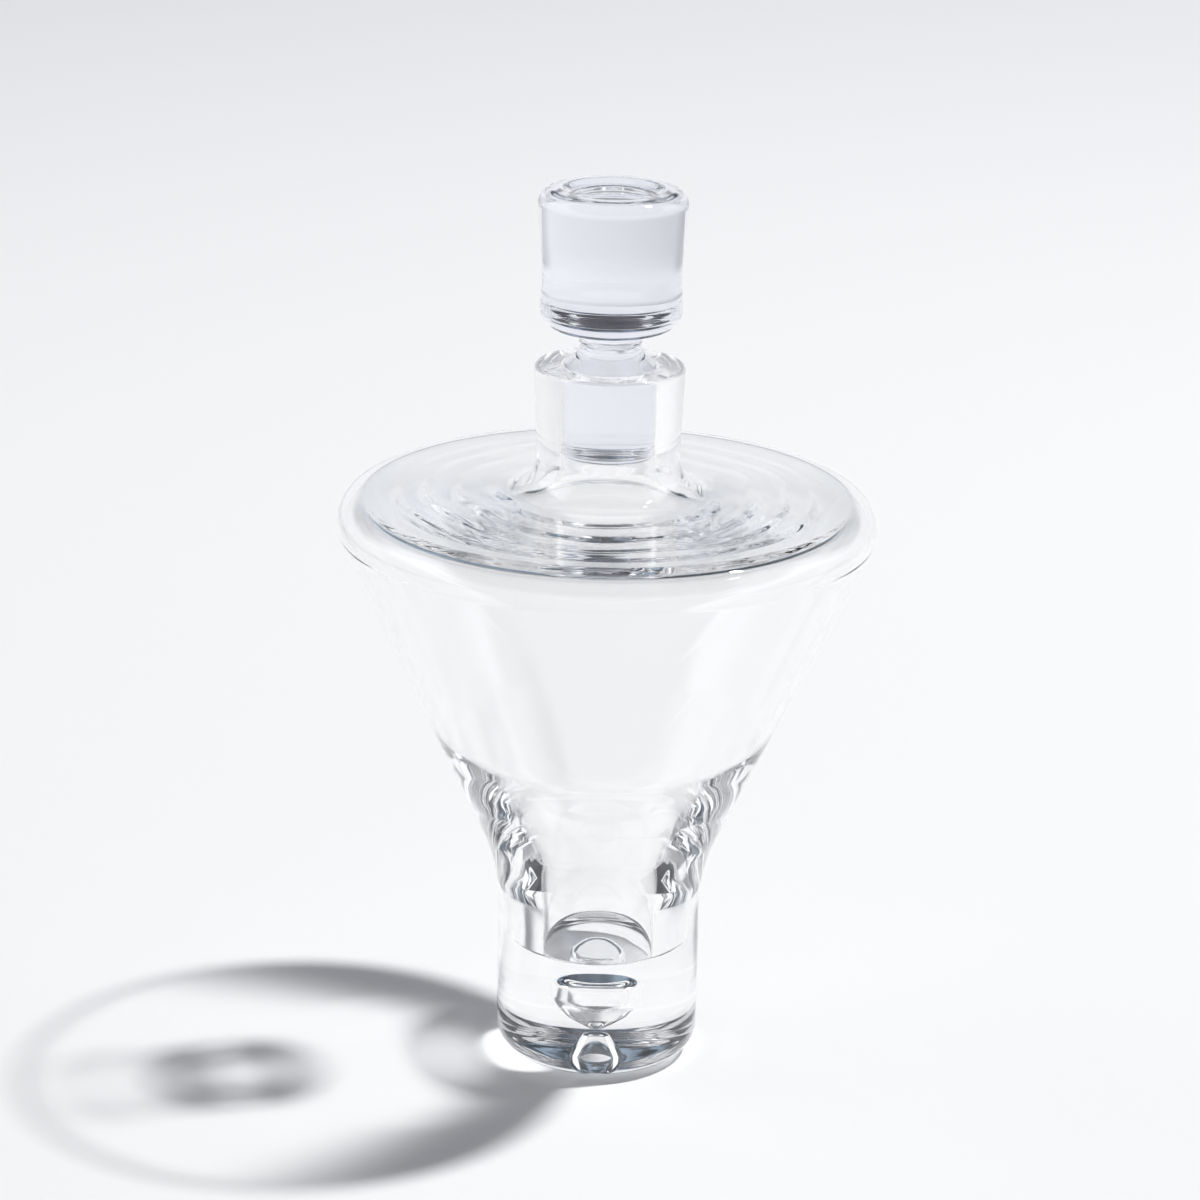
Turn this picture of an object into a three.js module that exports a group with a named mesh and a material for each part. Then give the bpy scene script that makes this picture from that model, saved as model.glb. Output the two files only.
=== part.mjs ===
// A hand-made glass decanter with a solid glass stopper.
// Both pieces are surfaces of revolution about +Z. Millimetres, with the origin at the middle of the
// face that the decanter stands on. A section is a list of points with x as radius and y as height.

import * as THREE from 'three';

// ---- Driving dimensions ----

const FLATS_ROUND_AXIS = 48; // the same for both pieces, so that the gap between them is even
const ARC_STEP = THREE.MathUtils.degToRad(18); // the most that one straight piece of an arc turns
const FEWEST_ARC_STEPS = 3;

// The decanter's outside
const BASE_RADIUS = 28.9;
const BASE_EDGE_ROUND = 8;
const DIMPLE_RADIUS = 5.3; // the small hollow in the middle of the base
const DIMPLE_TOP_RADIUS = 2.2;
const DIMPLE_HEIGHT = 7.6;
const DIMPLE_TOP_ROUND = 1.2;
const DIMPLE_EDGE_ROUND = 0.8;
const FOOT_HEIGHT = 56.6; // where the straight foot and the cone would meet without their blend
const FOOT_BLEND = 54;
const SHOULDER_RADIUS = 79.55;
const SHOULDER_HEIGHT = 166.6;
const SHOULDER_ROUND = 8;
const NECK_ROOT_RADIUS = 19.6;
const NECK_ROOT_HEIGHT = 169.2; // the top rises slightly from the shoulder to the neck
const NECK_ROOT_BLEND = 9;
const RIM_RADIUS = 20.9;
const RIM_HEIGHT = 204.2;
const RIM_EDGE_ROUND = 1;

// The decanter's inside
const MOUTH_ROUND = 0.7;
const BORE_TOP_RADIUS = 13.3;
const BORE_BOTTOM_RADIUS = 13.1;
const NECK_PLATE = 7.4; // glass between the top face and the cavity, at the neck
const SHOULDER_PLATE = 3; // and at the shoulder
const CEILING_EDGE_RADIUS = 61; // where the cavity's ceiling, rising from the neck, turns level
const CEILING_EDGE_HEIGHT = 163.8;
const CEILING_EDGE_ROUND = 20;
const BORE_BLEND = 16;
const CONE_WALL = 3; // glass between the cone's two faces, measured level
const CAVITY_SHOULDER_ROUND = 5;
const FUNNEL_TOP_HEIGHT = 98;
const FUNNEL_BLEND = 40;
const WELL_MOUTH_RADIUS = 18;
const WELL_MOUTH_HEIGHT = 54;
const WELL_MOUTH_BLEND = 60;
const WELL_RADIUS = 16.4;
const WELL_FLOOR_HEIGHT = 33;
const WELL_FLOOR_ROUND = 1;

// The stopper
const PLUG_GAP = 0.3; // between the plug and the bore
const PLUG_BOTTOM_HEIGHT = 179.2;
const PLUG_BOTTOM_ROUND = 2.6;
const PLUG_SHOULDER_HEIGHT = 204;
const PLUG_SHOULDER_ROUND = 0.6;
const WAIST_RADIUS = 8.5;
const WAIST_LOW_HEIGHT = 208.2;
const WAIST_BLEND = 5;
const COLLAR_HEIGHT = 210.8; // the small ring under the knob
const COLLAR_PROUD = 0.3;
const KNOB_BOTTOM_HEIGHT = 214.7;
const KNOB_UNDERSIDE_BLEND = 0.8;
const KNOB_BOTTOM_RADIUS = 20.15;
const KNOB_BOTTOM_ROUND = 5.6;
const KNOB_MIDDLE_RADIUS = 19.05;
const KNOB_MIDDLE_HEIGHT = 230.5;
const KNOB_MIDDLE_BLEND = 60;
const KNOB_TOP_RADIUS = 20.95;
const KNOB_TOP_HEIGHT = 253.6;
const KNOB_TOP_ROUND = 4.2;
const DISH_RADIUS = 14.2; // the shallow hollow in the knob's top
const DISH_DEPTH = 1.5;
const DISH_SIDE = 2.5; // how far in the hollow's sloping side comes

// ---- Sections ----

const CENTRE = new THREE.Vector2(0, 0);

/** The radius of the straight line through two corners, at a height. */
function radiusOnLine(low, high, height) {
  return THREE.MathUtils.mapLinear(height, low.height, high.height, low.radius, high.radius);
}

/** Joins corners by straight lines and rounds each one that has a radius of its own. */
function roundedSection(corners) {
  return corners.flatMap(({ radius, height, round = 0 }, index) => {
    const corner = new THREE.Vector2(radius, height);
    if (round === 0) {
      return [corner];
    }
    const before = corners[index - 1];
    const after = corners[index + 1];
    const toBefore = new THREE.Vector2(before.radius, before.height).sub(corner).normalize();
    const toAfter = new THREE.Vector2(after.radius, after.height).sub(corner).normalize();
    const halfAngle = Math.acos(toBefore.dot(toAfter)) / 2;
    const inward = toBefore.clone().add(toAfter).normalize();
    const arcCentre = corner.clone().addScaledVector(inward, round / Math.sin(halfAngle));
    const start = corner.clone().addScaledVector(toBefore, round / Math.tan(halfAngle)).sub(arcCentre);
    const end = corner.clone().addScaledVector(toAfter, round / Math.tan(halfAngle)).sub(arcCentre);
    const turn = Math.atan2(start.cross(end), start.dot(end));
    const steps = Math.max(FEWEST_ARC_STEPS, Math.ceil(Math.abs(turn) / ARC_STEP));
    return Array.from({ length: steps + 1 }, (_, step) =>
      start.clone().rotateAround(CENTRE, (turn * step) / steps).add(arcCentre));
  });
}

/** Outside from the middle of the base's dimple up to the rim, then inside down to the floor. */
function decanterSection() {
  const foot = { radius: BASE_RADIUS, height: FOOT_HEIGHT, round: FOOT_BLEND };
  const shoulder = { radius: SHOULDER_RADIUS, height: SHOULDER_HEIGHT, round: SHOULDER_ROUND };
  const cavityTop = SHOULDER_HEIGHT - SHOULDER_PLATE;
  return roundedSection([
    { radius: 0, height: DIMPLE_HEIGHT },
    { radius: DIMPLE_TOP_RADIUS, height: DIMPLE_HEIGHT, round: DIMPLE_TOP_ROUND },
    { radius: DIMPLE_RADIUS, height: 0, round: DIMPLE_EDGE_ROUND },
    { radius: BASE_RADIUS, height: 0, round: BASE_EDGE_ROUND },
    foot,
    shoulder,
    { radius: NECK_ROOT_RADIUS, height: NECK_ROOT_HEIGHT, round: NECK_ROOT_BLEND },
    { radius: RIM_RADIUS, height: RIM_HEIGHT, round: RIM_EDGE_ROUND },
    { radius: BORE_TOP_RADIUS, height: RIM_HEIGHT, round: MOUTH_ROUND },
    { radius: BORE_BOTTOM_RADIUS, height: NECK_ROOT_HEIGHT - NECK_PLATE, round: BORE_BLEND },
    { radius: CEILING_EDGE_RADIUS, height: CEILING_EDGE_HEIGHT, round: CEILING_EDGE_ROUND },
    { radius: radiusOnLine(foot, shoulder, cavityTop) - CONE_WALL, height: cavityTop,
      round: CAVITY_SHOULDER_ROUND },
    { radius: radiusOnLine(foot, shoulder, FUNNEL_TOP_HEIGHT) - CONE_WALL, height: FUNNEL_TOP_HEIGHT,
      round: FUNNEL_BLEND },
    { radius: WELL_MOUTH_RADIUS, height: WELL_MOUTH_HEIGHT, round: WELL_MOUTH_BLEND },
    { radius: WELL_RADIUS, height: WELL_FLOOR_HEIGHT, round: WELL_FLOOR_ROUND },
    { radius: 0, height: WELL_FLOOR_HEIGHT },
  ]);
}

/** Outside from the middle of the plug's end up to the middle of the dish in the knob's top. */
function stopperSection() {
  const boreBottom = { radius: BORE_BOTTOM_RADIUS, height: NECK_ROOT_HEIGHT - NECK_PLATE };
  const boreTop = { radius: BORE_TOP_RADIUS, height: RIM_HEIGHT };
  const plugRadius = (height) => radiusOnLine(boreBottom, boreTop, height) - PLUG_GAP;
  return roundedSection([
    { radius: 0, height: PLUG_BOTTOM_HEIGHT },
    { radius: plugRadius(PLUG_BOTTOM_HEIGHT), height: PLUG_BOTTOM_HEIGHT, round: PLUG_BOTTOM_ROUND },
    { radius: plugRadius(PLUG_SHOULDER_HEIGHT), height: PLUG_SHOULDER_HEIGHT,
      round: PLUG_SHOULDER_ROUND },
    { radius: WAIST_RADIUS, height: WAIST_LOW_HEIGHT, round: WAIST_BLEND },
    { radius: WAIST_RADIUS, height: COLLAR_HEIGHT - COLLAR_PROUD },
    { radius: WAIST_RADIUS + COLLAR_PROUD, height: COLLAR_HEIGHT },
    { radius: WAIST_RADIUS + COLLAR_PROUD, height: KNOB_BOTTOM_HEIGHT, round: KNOB_UNDERSIDE_BLEND },
    { radius: KNOB_BOTTOM_RADIUS, height: KNOB_BOTTOM_HEIGHT, round: KNOB_BOTTOM_ROUND },
    { radius: KNOB_MIDDLE_RADIUS, height: KNOB_MIDDLE_HEIGHT, round: KNOB_MIDDLE_BLEND },
    { radius: KNOB_TOP_RADIUS, height: KNOB_TOP_HEIGHT, round: KNOB_TOP_ROUND },
    { radius: DISH_RADIUS, height: KNOB_TOP_HEIGHT },
    { radius: DISH_RADIUS - DISH_SIDE, height: KNOB_TOP_HEIGHT - DISH_DEPTH },
    { radius: 0, height: KNOB_TOP_HEIGHT - DISH_DEPTH },
  ]);
}

// ---- Pieces ----

/** Turns a section about +Z. A lathe turns about Y, so the result is tipped up. */
function glassPiece(name, section) {
  const shape = new THREE.LatheGeometry(section, FLATS_ROUND_AXIS).rotateX(Math.PI / 2);
  const glass = new THREE.MeshStandardMaterial({
    color: 0xf4f6fa,
    roughness: 0.02,
    metalness: 0,
    transparent: true,
    opacity: 0.35,
  });
  const piece = new THREE.Mesh(shape, glass);
  piece.name = name;
  return piece;
}

const decanter = new THREE.Group();
decanter.add(glassPiece('decanter_body', decanterSection()));
decanter.add(glassPiece('stopper', stopperSection()));

export default decanter;
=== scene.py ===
"""A hand-made glass wine decanter and its stopper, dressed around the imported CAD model.

Both are surfaces of revolution, turned finely from sections of rounded corners in millimetres, the same
corners as the CAD's. The looks add the bubble shut in the foot, the rings on the cavity's ceiling, clear
glass, and the white sweep and light that the glass shows.
"""

import math

import bpy
import numpy as np
from mathutils import Matrix, Vector


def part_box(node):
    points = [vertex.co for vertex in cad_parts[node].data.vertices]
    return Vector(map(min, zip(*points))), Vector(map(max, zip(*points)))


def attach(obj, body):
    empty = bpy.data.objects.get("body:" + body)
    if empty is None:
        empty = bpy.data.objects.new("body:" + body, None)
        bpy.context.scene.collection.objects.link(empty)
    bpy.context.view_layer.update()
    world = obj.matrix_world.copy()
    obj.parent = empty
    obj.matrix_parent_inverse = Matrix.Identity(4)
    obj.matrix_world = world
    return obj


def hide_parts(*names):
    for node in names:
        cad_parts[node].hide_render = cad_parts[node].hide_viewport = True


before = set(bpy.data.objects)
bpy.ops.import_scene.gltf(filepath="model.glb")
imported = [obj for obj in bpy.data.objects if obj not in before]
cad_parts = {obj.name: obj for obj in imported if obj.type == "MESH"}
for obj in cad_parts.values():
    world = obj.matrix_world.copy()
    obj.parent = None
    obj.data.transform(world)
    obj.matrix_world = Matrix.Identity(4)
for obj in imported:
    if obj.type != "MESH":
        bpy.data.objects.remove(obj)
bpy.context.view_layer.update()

MM = 0.001


def top_of(node):
    """The height of a CAD node's highest point, in millimetres."""
    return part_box(node)[1].z / MM


# ---- Sizes, in millimetres ----

# The decanter's outside
BASE_RADIUS = 28.9
BASE_EDGE_ROUND = 8
DIMPLE_RADIUS = 5.3  # the small hollow in the middle of the base
DIMPLE_TOP_RADIUS = 2.2
DIMPLE_HEIGHT = 7.6
DIMPLE_TOP_ROUND = 1.2
DIMPLE_EDGE_ROUND = 0.8
FOOT_HEIGHT = 56.6  # where the straight foot and the cone would meet without their blend
FOOT_BLEND = 54
SHOULDER_RADIUS = 79.55
SHOULDER_HEIGHT = 166.6
SHOULDER_ROUND = 8
NECK_ROOT_RADIUS = 19.6
NECK_ROOT_HEIGHT = 169.2  # the top rises slightly from the shoulder to the neck
NECK_ROOT_BLEND = 9
RIM_RADIUS = 20.9
RIM_HEIGHT = top_of("decanter_body")
RIM_EDGE_ROUND = 1

# The decanter's inside
MOUTH_ROUND = 0.7
BORE_TOP_RADIUS = 13.3
BORE_BOTTOM_RADIUS = 13.1
NECK_PLATE = 7.4  # glass between the top face and the cavity, at the neck
BORE_BLEND = 16
SHOULDER_PLATE = 3  # and at the shoulder
CEILING_EDGE_RADIUS = 61  # where the cavity's ceiling, rising from the neck, turns level
CEILING_EDGE_HEIGHT = 163.8
CEILING_EDGE_ROUND = 20
CONE_WALL = 3  # glass between the cone's two faces, measured level
CAVITY_SHOULDER_ROUND = 5
FUNNEL_TOP_HEIGHT = 98
FUNNEL_BLEND = 40
WELL_MOUTH_RADIUS = 18
WELL_MOUTH_HEIGHT = 54
WELL_MOUTH_BLEND = 60
WELL_RADIUS = 16.4
WELL_FLOOR_HEIGHT = 33
WELL_FLOOR_ROUND = 1

# The air bubble shut in the foot
BUBBLE_TIP_RADIUS = 1
BUBBLE_TIP_HEIGHT = 9
BUBBLE_TIP_ROUND = 0.8
BUBBLE_WAIST_RADIUS = 5.4  # where its sides turn in to the tip
BUBBLE_WAIST_HEIGHT = 12.6
BUBBLE_WAIST_ROUND = 4
BUBBLE_RADIUS = 8.6
BUBBLE_LOW_HEIGHT = 17
BUBBLE_LOW_ROUND = 5
BUBBLE_TOP_RADIUS = 7.9
BUBBLE_TOP_HEIGHT = 24.7
BUBBLE_TOP_ROUND = 3

# The stopper
PLUG_GAP = 0.3  # between the plug and the bore
PLUG_BOTTOM_HEIGHT = 179.2
PLUG_BOTTOM_ROUND = 2.6
PLUG_SHOULDER_HEIGHT = 204
PLUG_SHOULDER_ROUND = 0.6
WAIST_RADIUS = 8.5
WAIST_LOW_HEIGHT = 208.2
WAIST_BLEND = 5
COLLAR_HEIGHT = 210.8  # the small ring under the knob
COLLAR_PROUD = 0.3
COLLAR_LOW_ROUND = 0.2
COLLAR_TOP_ROUND = 0.4
KNOB_BOTTOM_HEIGHT = 214.7
KNOB_UNDERSIDE_BLEND = 0.8
KNOB_BOTTOM_RADIUS = 20.15
KNOB_BOTTOM_ROUND = 5.6
KNOB_MIDDLE_RADIUS = 19.05
KNOB_MIDDLE_HEIGHT = 230.5
KNOB_MIDDLE_BLEND = 60
KNOB_TOP_RADIUS = 20.95
KNOB_TOP_HEIGHT = top_of("stopper")
KNOB_TOP_ROUND = 4.2
DISH_RADIUS = 14.2  # the shallow hollow in the knob's top
DISH_DEPTH = 1.5
DISH_SIDE = 2.5  # how far in the hollow's sloping side comes
DISH_EDGE_ROUND = 2
DISH_FLOOR_ROUND = 4

# The rings on the cavity's ceiling
RING_SPACING = 10
RING_SLOPE = math.tan(math.radians(5))
RING_LEAN = 0.25  # makes a ring steeper on the neck's side than on the shoulder's
RING_WANDERS = ((2, 0.9, 0.6), (5, 0.6, 2.1), (9, 0.4, 0.3))  # waves in a turn, size and start, in radians
RING_CROWDING = 1.1  # radians that the rings draw together and apart
RING_CROWDING_REACH = 9
RING_STRENGTH = 0.62
RING_PATCHINESS = 0.38
PATCH_TURNS = (3, 7)  # waves in a turn, of the two that make the patches
PATCH_REACHES = (7, 11)
PATCH_START = 1
RINGS_INNER_RADIUS = 16
RINGS_INNER_FADE = 10
RINGS_OUTER_RADIUS = 61
RINGS_OUTER_FADE = 5
RINGS_LOWEST = 160  # below here is the cone, which has none
GRADIENT_STEP = 0.02

# How finely the glass is turned
TURNS = 256
ARC_STEP = math.radians(4)
FEWEST_ARC_STEPS = 4
LONGEST_STEP = 2
LONGEST_RING_STEP = 0.6


# ---- Sections ----

def at_height(low, high, height):
    """The radius of the straight line through two corners, at a height."""
    return low[0] + (high[0] - low[0]) * (height - low[1]) / (high[1] - low[1])


def unit(vector):
    return vector / np.linalg.norm(vector)


def outward(start, end):
    """The normal on the right of the way from start to end."""
    along = unit(end - start)
    return np.array([along[1], -along[0]])


def rounded_section(corners):
    """Corners joined by straight lines and tangent arcs, as points and normals.

    A corner is (radius, height, round, longest step on the line that leads to it). The last two may be
    left out.
    """
    spots = [np.array(corner[:2], float) for corner in corners]
    rounds = [corner[2] if len(corner) > 2 else 0 for corner in corners]
    longest_steps = [corner[3] if len(corner) > 3 else LONGEST_STEP for corner in corners]
    points = []
    normals = []

    def line_to(end, normal, longest_step):
        start = points[-1] if points else spots[0]
        steps = max(1, math.ceil(np.linalg.norm(end - start) / longest_step))
        for step in range(0 if not points else 1, steps + 1):
            points.append(start + (end - start) * step / steps)
            normals.append(normal)

    for i in range(1, len(spots)):
        normal = outward(spots[i - 1], spots[i])
        if not rounds[i]:
            line_to(spots[i], normal, longest_steps[i])
            if i + 1 < len(spots):  # a sharp corner's normal is half way between its two sides'
                normals[-1] = unit(normal + outward(spots[i], spots[i + 1]))
            continue
        next_normal = outward(spots[i], spots[i + 1])
        turn = math.atan2(
            normal[0] * next_normal[1] - normal[1] * next_normal[0], normal @ next_normal
        )
        reach = rounds[i] * math.tan(abs(turn) / 2)
        arc_start = spots[i] + unit(spots[i - 1] - spots[i]) * reach
        side = math.copysign(1, turn)
        centre = arc_start - normal * rounds[i] * side
        line_to(arc_start, normal, longest_steps[i])
        steps = max(FEWEST_ARC_STEPS, math.ceil(abs(turn) / ARC_STEP))
        for step in range(1, steps + 1):
            cosine = math.cos(turn * step / steps)
            sine = math.sin(turn * step / steps)
            arc_normal = np.array([
                cosine * normal[0] - sine * normal[1],
                sine * normal[0] + cosine * normal[1],
            ])
            points.append(centre + arc_normal * rounds[i] * side)
            normals.append(arc_normal)
    return np.array(points), np.array(normals)


def body_section():
    """Outside from the middle of the base's dimple up to the rim, then inside down to the well's floor."""
    foot = (BASE_RADIUS, FOOT_HEIGHT, FOOT_BLEND)
    shoulder = (SHOULDER_RADIUS, SHOULDER_HEIGHT, SHOULDER_ROUND)
    cavity_top = SHOULDER_HEIGHT - SHOULDER_PLATE
    return [
        (0, DIMPLE_HEIGHT),
        (DIMPLE_TOP_RADIUS, DIMPLE_HEIGHT, DIMPLE_TOP_ROUND),
        (DIMPLE_RADIUS, 0, DIMPLE_EDGE_ROUND),
        (BASE_RADIUS, 0, BASE_EDGE_ROUND),
        foot,
        shoulder,
        (NECK_ROOT_RADIUS, NECK_ROOT_HEIGHT, NECK_ROOT_BLEND),
        (RIM_RADIUS, RIM_HEIGHT, RIM_EDGE_ROUND),
        (BORE_TOP_RADIUS, RIM_HEIGHT, MOUTH_ROUND),
        (BORE_BOTTOM_RADIUS, NECK_ROOT_HEIGHT - NECK_PLATE, BORE_BLEND),
        (CEILING_EDGE_RADIUS, CEILING_EDGE_HEIGHT, CEILING_EDGE_ROUND, LONGEST_RING_STEP),
        (at_height(foot, shoulder, cavity_top) - CONE_WALL, cavity_top, CAVITY_SHOULDER_ROUND),
        (at_height(foot, shoulder, FUNNEL_TOP_HEIGHT) - CONE_WALL, FUNNEL_TOP_HEIGHT, FUNNEL_BLEND),
        (WELL_MOUTH_RADIUS, WELL_MOUTH_HEIGHT, WELL_MOUTH_BLEND),
        (WELL_RADIUS, WELL_FLOOR_HEIGHT, WELL_FLOOR_ROUND),
        (0, WELL_FLOOR_HEIGHT),
    ]


def bubble_section():
    """From the bubble's top down to its tip, so that its faces look into the bubble."""
    return [
        (0, BUBBLE_TOP_HEIGHT),
        (BUBBLE_TOP_RADIUS, BUBBLE_TOP_HEIGHT, BUBBLE_TOP_ROUND),
        (BUBBLE_RADIUS, BUBBLE_LOW_HEIGHT, BUBBLE_LOW_ROUND),
        (BUBBLE_WAIST_RADIUS, BUBBLE_WAIST_HEIGHT, BUBBLE_WAIST_ROUND),
        (BUBBLE_TIP_RADIUS, BUBBLE_TIP_HEIGHT, BUBBLE_TIP_ROUND),
        (0, BUBBLE_TIP_HEIGHT),
    ]


def stopper_section():
    """Outside from the middle of the plug's end up to the middle of the knob's dish."""
    bore_bottom = (BORE_BOTTOM_RADIUS, NECK_ROOT_HEIGHT - NECK_PLATE)
    bore_top = (BORE_TOP_RADIUS, RIM_HEIGHT)

    def plug_radius(height):
        return at_height(bore_bottom, bore_top, height) - PLUG_GAP

    return [
        (0, PLUG_BOTTOM_HEIGHT),
        (plug_radius(PLUG_BOTTOM_HEIGHT), PLUG_BOTTOM_HEIGHT, PLUG_BOTTOM_ROUND),
        (plug_radius(PLUG_SHOULDER_HEIGHT), PLUG_SHOULDER_HEIGHT, PLUG_SHOULDER_ROUND),
        (WAIST_RADIUS, WAIST_LOW_HEIGHT, WAIST_BLEND),
        (WAIST_RADIUS, COLLAR_HEIGHT - COLLAR_PROUD, COLLAR_LOW_ROUND),
        (WAIST_RADIUS + COLLAR_PROUD, COLLAR_HEIGHT, COLLAR_TOP_ROUND),
        (WAIST_RADIUS + COLLAR_PROUD, KNOB_BOTTOM_HEIGHT, KNOB_UNDERSIDE_BLEND),
        (KNOB_BOTTOM_RADIUS, KNOB_BOTTOM_HEIGHT, KNOB_BOTTOM_ROUND),
        (KNOB_MIDDLE_RADIUS, KNOB_MIDDLE_HEIGHT, KNOB_MIDDLE_BLEND),
        (KNOB_TOP_RADIUS, KNOB_TOP_HEIGHT, KNOB_TOP_ROUND),
        (DISH_RADIUS, KNOB_TOP_HEIGHT, DISH_EDGE_ROUND),
        (DISH_RADIUS - DISH_SIDE, KNOB_TOP_HEIGHT - DISH_DEPTH, DISH_FLOOR_ROUND),
        (0, KNOB_TOP_HEIGHT - DISH_DEPTH),
    ]


# ---- Meshes ----

def ceiling_rings(x, y, z):
    """How far the rings that the maker's turning left move the cavity's ceiling, along its normal.

    They are uneven in spacing and strength, and fade out towards the neck and the shoulder.
    """
    radius = np.hypot(x, y)
    angle = np.arctan2(y, x)
    wander = sum(size * np.sin(count * angle + start) for count, size, start in RING_WANDERS)
    crowding = RING_CROWDING * np.sin(radius / RING_CROWDING_REACH)
    phase = 2 * math.pi * radius / RING_SPACING + wander + crowding
    rings = np.sin(phase) + RING_LEAN * np.sin(2 * phase)
    first_patches = np.sin(PATCH_TURNS[0] * angle + radius / PATCH_REACHES[0] + PATCH_START)
    second_patches = np.sin(PATCH_TURNS[1] * angle - radius / PATCH_REACHES[1])
    strength = RING_STRENGTH + RING_PATCHINESS * first_patches * second_patches
    outer_fade = np.clip((RINGS_OUTER_RADIUS - radius) / RINGS_OUTER_FADE, 0, 1)
    inner_fade = np.clip((radius - RINGS_INNER_RADIUS) / RINGS_INNER_FADE, 0, 1)
    fade = outer_fade * inner_fade
    fade = fade * fade * (3 - 2 * fade)
    height = RING_SLOPE * RING_SPACING / (2 * math.pi)
    return -height * rings * strength * fade * (z > RINGS_LOWEST)


def waved(places, normals, waves):
    """Points moved along their normals by waves(x, y, z), and the normals that they have then."""
    slope = np.column_stack([
        waves(*(places + GRADIENT_STEP * axis).T) - waves(*(places - GRADIENT_STEP * axis).T)
        for axis in np.eye(3)
    ]) / (2 * GRADIENT_STEP)
    slope -= normals * (slope * normals).sum(axis=1, keepdims=True)
    new_normals = normals - slope
    new_normals /= np.linalg.norm(new_normals, axis=1, keepdims=True)
    return places + normals * waves(*places.T)[:, None], new_normals


def turned(corners, waves=None):
    """Turns a section about +Z. Gives vertices, faces and vertex normals.

    The waves are only on the inside, which is past the section's highest point.
    """
    points, normals = rounded_section(corners)
    ring = points[1:-1]
    ring_normals = np.repeat(normals[1:-1], TURNS, axis=0)
    radius = np.repeat(ring[:, 0], TURNS)
    height = np.repeat(ring[:, 1], TURNS)
    angle = np.tile(np.arange(TURNS) * 2 * math.pi / TURNS, len(ring))
    places = np.column_stack([radius * np.cos(angle), radius * np.sin(angle), height])
    facing = np.column_stack([
        ring_normals[:, 0] * np.cos(angle),
        ring_normals[:, 0] * np.sin(angle),
        ring_normals[:, 1],
    ])
    if waves:
        inside = np.repeat(np.arange(len(ring)) > ring[:, 1].argmax(), TURNS)
        places[inside], facing[inside] = waved(places[inside], facing[inside], waves)
    poles = [[0, 0, points[0, 1]], [0, 0, points[-1, 1]]]
    pole_normals = [[0, 0, math.copysign(1, normals[0, 1])], [0, 0, math.copysign(1, normals[-1, 1])]]
    start_pole = len(places)
    end_pole = start_pole + 1
    last_row = (len(ring) - 1) * TURNS
    faces = []
    for turn in range(TURNS):
        after = (turn + 1) % TURNS
        faces.append((start_pole, after, turn))
        for row in range(0, last_row, TURNS):
            next_row = row + TURNS
            faces.append((row + turn, row + after, next_row + after, next_row + turn))
        faces.append((end_pole, last_row + turn, last_row + after))
    return np.vstack([places, poles]), faces, np.vstack([facing, pole_normals])


def glass_piece(name, *surfaces):
    """One smooth mesh of several closed surfaces, with the sections' own normals."""
    vertices = []
    faces = []
    normals = []
    for surface_vertices, surface_faces, surface_normals in surfaces:
        first = sum(len(earlier) for earlier in vertices)
        vertices.append(surface_vertices)
        faces += [tuple(first + corner for corner in face) for face in surface_faces]
        normals.append(surface_normals)
    mesh = bpy.data.meshes.new(name)
    mesh.from_pydata((np.vstack(vertices) * MM).tolist(), [], faces)
    mesh.shade_smooth()
    mesh.normals_split_custom_set_from_vertices(np.vstack(normals).tolist())
    piece = bpy.data.objects.new(name, mesh)
    bpy.context.scene.collection.objects.link(piece)
    return piece


# ---- Nodes that the materials and the sky share ----

def smooth_step(tree, value, ends, levels=(0, 1)):
    """Goes smoothly from the first level to the second as the value goes from end to end."""
    step = tree.nodes.new("ShaderNodeMapRange")
    step.interpolation_type = "SMOOTHSTEP"
    step.inputs["From Min"].default_value = ends[0]
    step.inputs["From Max"].default_value = ends[1]
    step.inputs["To Min"].default_value = levels[0]
    step.inputs["To Max"].default_value = levels[1]
    tree.links.new(value, step.inputs["Value"])
    return step.outputs[0]


def vector_math(tree, operation, vector):
    """A vector maths node with its first input linked."""
    node = tree.nodes.new("ShaderNodeVectorMath")
    node.operation = operation
    tree.links.new(vector, node.inputs[0])
    return node


def separated(tree, vector):
    """A vector's X, Y and Z."""
    parts = tree.nodes.new("ShaderNodeSeparateXYZ")
    tree.links.new(vector, parts.inputs[0])
    return parts.outputs


def mixed(tree, amount, first, second):
    """One colour going over to another. Each is an RGB tuple or a node's output."""
    mix = tree.nodes.new("ShaderNodeMix")
    mix.data_type = "RGBA"
    tree.links.new(amount, mix.inputs["Factor"])
    for colour, name in ((first, "A"), (second, "B")):
        socket = next(s for s in mix.inputs if s.name == name and s.type == "RGBA")
        if isinstance(colour, tuple):
            socket.default_value = (*colour, 1)
        else:
            tree.links.new(colour, socket)
    return next(s for s in mix.outputs if s.type == "RGBA")


# ---- Materials ----

GLASS_IOR = 1.52
BODY_COLOUR = (1, 1, 1)
STOPPER_COLOUR = (0.90, 0.91, 0.965)  # so thick a piece shows the glass's faint lavender
SHADOW_GRAZES = (0.36, 0.78)  # where a shadow starts and is full, from 0, square on, to 1, along the glass
BODY_SHADOW = 0.05  # light that a full shadow lets through, at each face
STOPPER_SHADOW = 0.6
EVEN_BLEND = 0.5

PAPER_ROUGHNESS = 0.9
PAPER_COLOUR = (0.9, 0.9, 0.9)
FAR_PAPER_PAINTED_SHADE = (0.75, 0.75, 0.76)  # painted shade, where the light on the sweep gives out
PAPER_SHADE_FADE = (0.4, 2.2)  # metres from the decanter, over which the painted shade comes in
SIDE_PAINTED_SHADE = (0.42, 0.42, 0.44)  # painted shade, dim to the left and right, which draws the thick glass's edges
SIDE_SHADE_TURN = (0.7, 0.95)  # sines of the turn away from straight behind
SIDE_SHADE_FADE = (0.8, 1.3)  # metres from the decanter
GATHERED_LIGHT = 0.15
GATHERED_LIGHT_COLOUR = (0.97, 0.98, 1)


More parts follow.
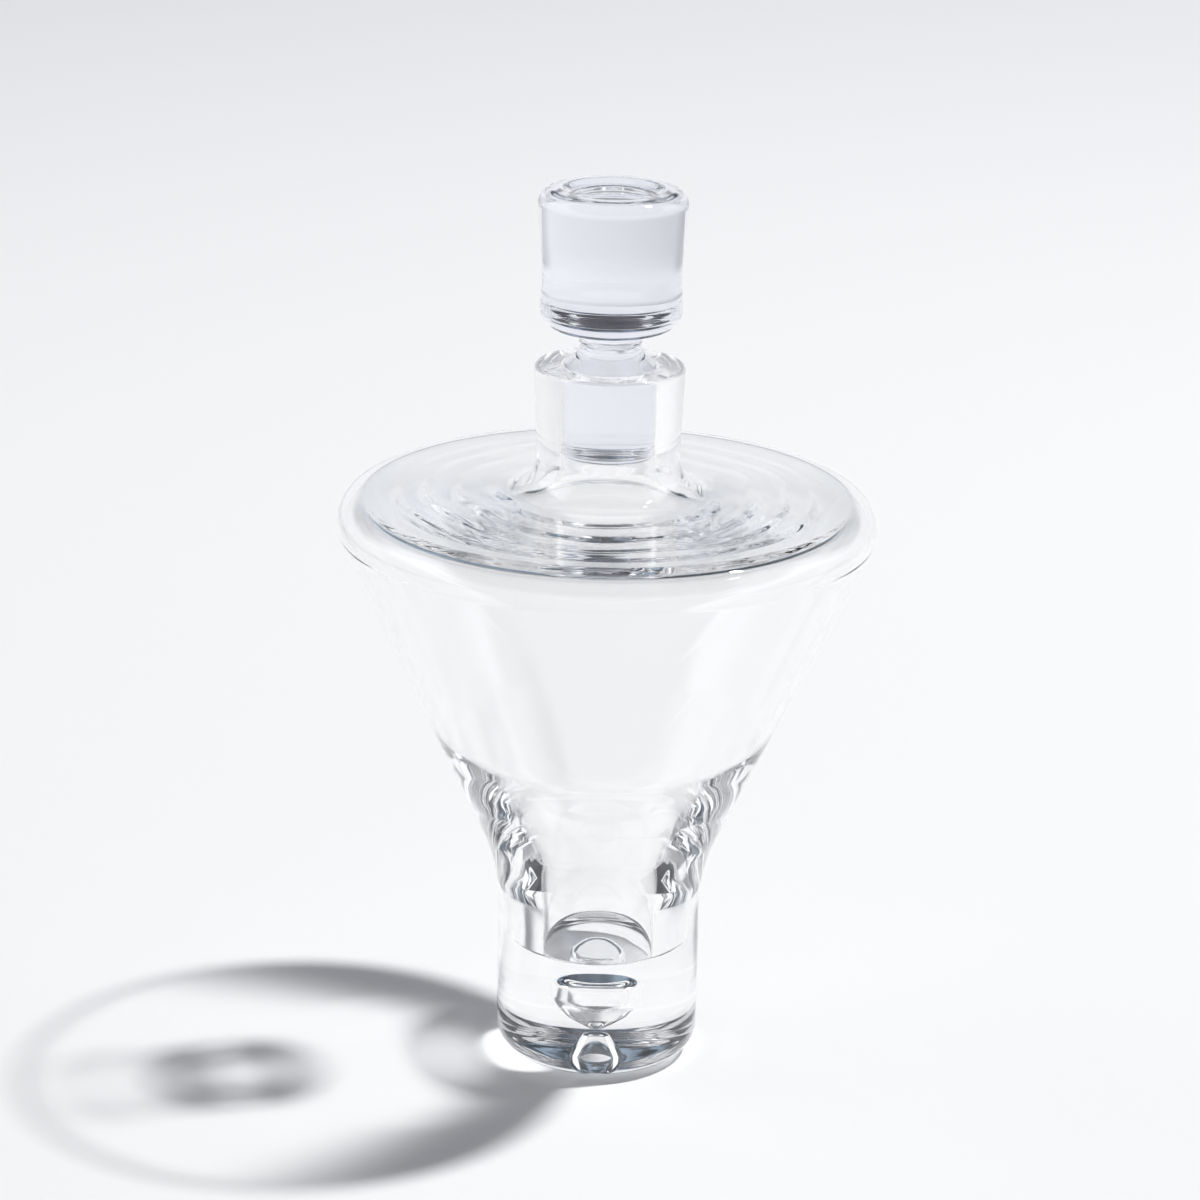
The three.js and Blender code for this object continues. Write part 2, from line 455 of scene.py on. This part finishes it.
def glass(name, colour, full_shadow):
    """Clear glass. Shadow rays go straight through it, and lose more light the more they graze it,
    so its shadow is a ring with a bright middle."""
    material = bpy.data.materials.new(name)
    material.use_nodes = True
    tree = material.node_tree
    shader = tree.nodes["Principled BSDF"]
    shader.inputs["Base Color"].default_value = (*colour, 1)
    shader.inputs["Roughness"].default_value = 0
    shader.inputs["IOR"].default_value = GLASS_IOR
    shader.inputs["Transmission Weight"].default_value = 1
    graze = tree.nodes.new("ShaderNodeLayerWeight")
    graze.inputs["Blend"].default_value = EVEN_BLEND
    through = tree.nodes.new("ShaderNodeBsdfTransparent")
    passed = smooth_step(tree, graze.outputs["Facing"], SHADOW_GRAZES, (1, full_shadow))
    tree.links.new(passed, through.inputs["Color"])
    ray = tree.nodes.new("ShaderNodeLightPath")
    mix = tree.nodes.new("ShaderNodeMixShader")
    tree.links.new(ray.outputs["Is Shadow Ray"], mix.inputs[0])
    tree.links.new(shader.outputs[0], mix.inputs[1])
    tree.links.new(through.outputs[0], mix.inputs[2])
    tree.links.new(mix.outputs[0], tree.nodes["Material Output"].inputs["Surface"])
    return material


def paper():
    """White paper with painted shade, dimmer far off and to the sides. It glows a little under the foot,
    where the glass gathers more of the key light than the renderer can follow."""
    material = bpy.data.materials.new("white_sweep")
    material.use_nodes = True
    tree = material.node_tree
    shader = tree.nodes["Principled BSDF"]
    shader.inputs["Roughness"].default_value = PAPER_ROUGHNESS
    shader.inputs["Specular IOR Level"].default_value = 0
    shader.inputs["Emission Color"].default_value = (*GATHERED_LIGHT_COLOUR, 1)
    place = tree.nodes.new("ShaderNodeNewGeometry").outputs["Position"]
    away = vector_math(tree, "LENGTH", place).outputs["Value"]
    aside = tree.nodes.new("ShaderNodeMath")
    aside.operation = "ABSOLUTE"
    way = vector_math(tree, "NORMALIZE", place).outputs["Vector"]
    tree.links.new(separated(tree, way)["X"], aside.inputs[0])
    # Painted shade: the paper darkens to the left and right, away from the decanter.
    side = tree.nodes.new("ShaderNodeMath")
    side.operation = "MULTIPLY"
    tree.links.new(smooth_step(tree, aside.outputs[0], SIDE_SHADE_TURN), side.inputs[0])
    tree.links.new(smooth_step(tree, away, SIDE_SHADE_FADE), side.inputs[1])
    # Painted shade: the paper's colour darkens far off, where the light on the sweep gives out.
    colour = mixed(tree, smooth_step(tree, away, PAPER_SHADE_FADE), PAPER_COLOUR, FAR_PAPER_PAINTED_SHADE)
    # Painted shade at the sides, mixed over the paper's colour.
    colour = mixed(tree, side.outputs[0], colour, SIDE_PAINTED_SHADE)
    tree.links.new(colour, shader.inputs["Base Color"])
    foot_edge = ((BASE_RADIUS - BASE_EDGE_ROUND) * MM, BASE_RADIUS * MM)
    glow = smooth_step(tree, away, foot_edge, (GATHERED_LIGHT, 0))
    tree.links.new(glow, shader.inputs["Emission Strength"])
    return material


# ---- Camera, stage and lights, in metres ----

CAMERA_DISTANCE = 1.0675
CAMERA_HEIGHT = 0.4893
CAMERA_SIDE = -0.00145
CAMERA_DIP = math.radians(18.33)
CAMERA_ROLL = math.radians(1.2)
CAMERA_LENS = 120  # millimetres, as is the sensor
CAMERA_SENSOR = 36
CAMERA_NEAREST = 0.05
CAMERA_FARTHEST = 50

FLOOR_RADIUS = 3.2
FLOOR_HEIGHT = -0.0002  # clear of the base's flat ring
FLOOR_SIDES = 96

KEY_DIRECTION = Vector((0.468, 0.1235, 0.875)).normalized()
KEY_DISTANCE = 9
KEY_SIZE = 0.54
KEY_POWER = 715

LOW_SKY = (0.91, 0.915, 0.94)  # the white sweep carries on up the wall
HIGH_SKY = (1.42, 1.43, 1.48)
SKY_SEAM = (0.23, 0.33)  # sines of the heights between which the one gives way to the other
ROOM_COLOUR = (0.05, 0.05, 0.06)  # the unlit room behind and above the camera
ROOM_DIRECTION = Vector((0.1, -0.6, 0.8)).normalized()
ROOM_EDGE = (0.38, 0.55)  # cosines of the angles from the middle, as for the back wall
BACK_COLOUR = (0.6, 0.78, 1.0)  # the dim, streaky wall above the sweep
BACK_DIRECTION = Vector((0, 0.8, 0.6)).normalized()
BACK_EDGE = (0.56, 0.7)
BACK_LEVELS = (0.05, 0.5)
STREAK_EDGE = (0.46, 0.68)
STREAK_SCALE = 4
STREAK_DETAIL = 3

GLASS_BOUNCES = 64
DIFFUSE_BOUNCES = 6


def add_camera():
    data = bpy.data.cameras.new("camera")
    data.lens = CAMERA_LENS
    data.sensor_width = CAMERA_SENSOR
    data.clip_start = CAMERA_NEAREST
    data.clip_end = CAMERA_FARTHEST
    camera = bpy.data.objects.new("camera", data)
    camera.matrix_world = (
        Matrix.Translation((CAMERA_SIDE, -CAMERA_DISTANCE, CAMERA_HEIGHT))
        @ Matrix.Rotation(math.radians(90) - CAMERA_DIP, 4, "X")
        @ Matrix.Rotation(CAMERA_ROLL, 4, "Z")
    )
    bpy.context.scene.collection.objects.link(camera)
    bpy.context.scene.camera = camera


def add_floor():
    """A big flat disc, which ends at a level horizon from every side."""
    mesh = bpy.data.meshes.new("floor")
    around = [2 * math.pi * side / FLOOR_SIDES for side in range(FLOOR_SIDES)]
    rim = [(FLOOR_RADIUS * math.cos(a), FLOOR_RADIUS * math.sin(a), FLOOR_HEIGHT) for a in around]
    mesh.from_pydata(rim, [], [range(FLOOR_SIDES)])
    floor = bpy.data.objects.new("floor", mesh)
    floor.data.materials.append(paper())
    bpy.context.scene.collection.objects.link(floor)


def add_key_light():
    data = bpy.data.lights.new("key_light", "AREA")
    data.shape = "DISK"
    data.size = KEY_SIZE
    data.energy = KEY_POWER
    light = bpy.data.objects.new("key_light", data)
    light.location = KEY_DIRECTION * KEY_DISTANCE
    light.rotation_mode = "QUATERNION"
    light.rotation_quaternion = KEY_DIRECTION.to_track_quat("Z", "Y")
    bpy.context.scene.collection.objects.link(light)


def add_world():
    """White low down and bright above, with a dim wall behind the decanter and a dark room in front."""
    world = bpy.data.worlds.new("studio")
    bpy.context.scene.world = world
    world.use_nodes = True
    tree = world.node_tree
    direction = tree.nodes.new("ShaderNodeTexCoord").outputs["Generated"]

    def towards(middle, edge):
        """Goes from 0 to 1 as the direction nears the middle."""
        dot = vector_math(tree, "DOT_PRODUCT", direction)
        dot.inputs[1].default_value = middle
        return smooth_step(tree, dot.outputs["Value"], edge)

    streaks = tree.nodes.new("ShaderNodeTexNoise")
    streaks.inputs["Scale"].default_value = STREAK_SCALE
    streaks.inputs["Detail"].default_value = STREAK_DETAIL
    tree.links.new(direction, streaks.inputs["Vector"])
    back = tree.nodes.new("ShaderNodeVectorMath")
    back.operation = "SCALE"
    back.inputs[0].default_value = BACK_COLOUR
    tree.links.new(smooth_step(tree, streaks.outputs[0], STREAK_EDGE, BACK_LEVELS), back.inputs["Scale"])
    sky = mixed(tree, towards(BACK_DIRECTION, BACK_EDGE), HIGH_SKY, back.outputs[0])
    sky = mixed(tree, towards(ROOM_DIRECTION, ROOM_EDGE), sky, ROOM_COLOUR)
    low = smooth_step(tree, separated(tree, direction)["Z"], SKY_SEAM, (1, 0))
    tree.links.new(mixed(tree, low, sky, LOW_SKY), tree.nodes["Background"].inputs["Color"])


def set_light_paths():
    """Follows light through all of the glass's faces."""
    cycles = bpy.context.scene.cycles
    cycles.max_bounces = GLASS_BOUNCES
    cycles.transmission_bounces = GLASS_BOUNCES
    cycles.glossy_bounces = GLASS_BOUNCES
    cycles.diffuse_bounces = DIFFUSE_BOUNCES
    cycles.blur_glossy = 0


# ---- The scene ----

body = glass_piece("body_glass", turned(body_section(), ceiling_rings), turned(bubble_section()))
stopper = glass_piece("stopper_glass", turned(stopper_section()))
body.data.materials.append(glass("clear_glass", BODY_COLOUR, BODY_SHADOW))
stopper.data.materials.append(glass("thick_clear_glass", STOPPER_COLOUR, STOPPER_SHADOW))
for piece, node, group in ((body, "decanter_body", "decanter"), (stopper, "stopper", "stopper")):
    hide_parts(node)
    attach(piece, group)

add_camera()
add_floor()
add_key_light()
add_world()
set_light_paths()
bpy.context.scene.view_settings.view_transform = "Standard"
